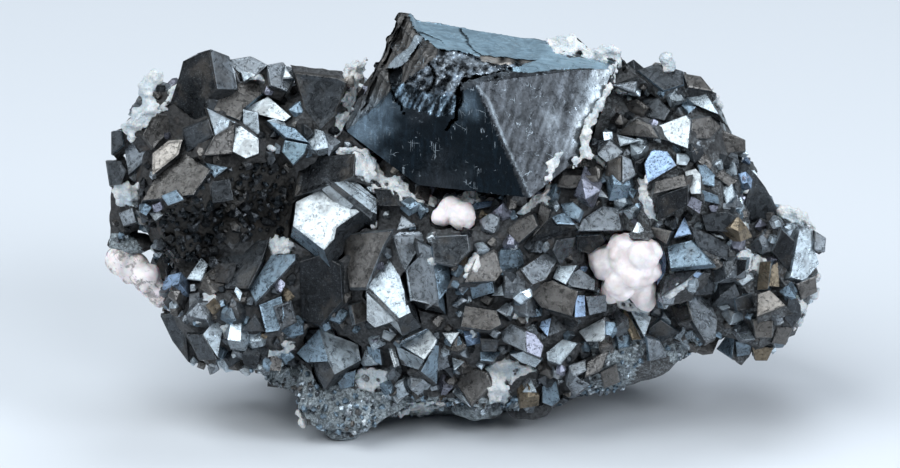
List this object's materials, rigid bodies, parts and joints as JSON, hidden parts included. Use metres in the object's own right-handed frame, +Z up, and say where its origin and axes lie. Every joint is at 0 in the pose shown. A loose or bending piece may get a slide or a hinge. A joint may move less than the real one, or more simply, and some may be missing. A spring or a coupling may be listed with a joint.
{
  "type": "alabandite mineral specimen",
  "caption": "Mineral specimen: a rock crusted with dark metallic crystals, one large crystal on top, with pink rhodochrosite and white quartz; rests on its flat base.",
  "frame": {"origin": "middle of the bounding box's underside, on the surface that the specimen rests on", "axes": "+X to the right and +Z up in the pictured view, -Y towards the viewer; the longest extent is along X and the shortest along Y"},
  "size_m": [0.1228, 0.0552, 0.0729],
  "materials": {
    "crust": "dark grey-brown crystal crust, sub-metallic, finely pitted",
    "alabandite": "near-black sub-metallic crystal, bright where it catches the light",
    "rhodochrosite": "pale pink, bubbly, waxy",
    "quartz": "white to cream, granular, faintly glassy"
  },
  "bodies": {
    "root": {"matrix": "crust", "large_crystal": "alabandite", "dark_crystal": "alabandite", "hexagonal_crystal": "alabandite", "blade_crystal": "alabandite", "plate_crystal": "alabandite", "pyramid_crystal": "alabandite", "side_crystal": "alabandite", "rhodochrosite_cluster": "rhodochrosite", "rhodochrosite_lump": "rhodochrosite", "rhodochrosite_knob": "rhodochrosite", "quartz_rind": "quartz", "quartz_rind_left": "quartz", "quartz_patch": "quartz", "quartz_vein": "quartz", "quartz_tip": "quartz", "quartz_end": "quartz", "pale_plate": "quartz"}
  },
  "joints": []
}
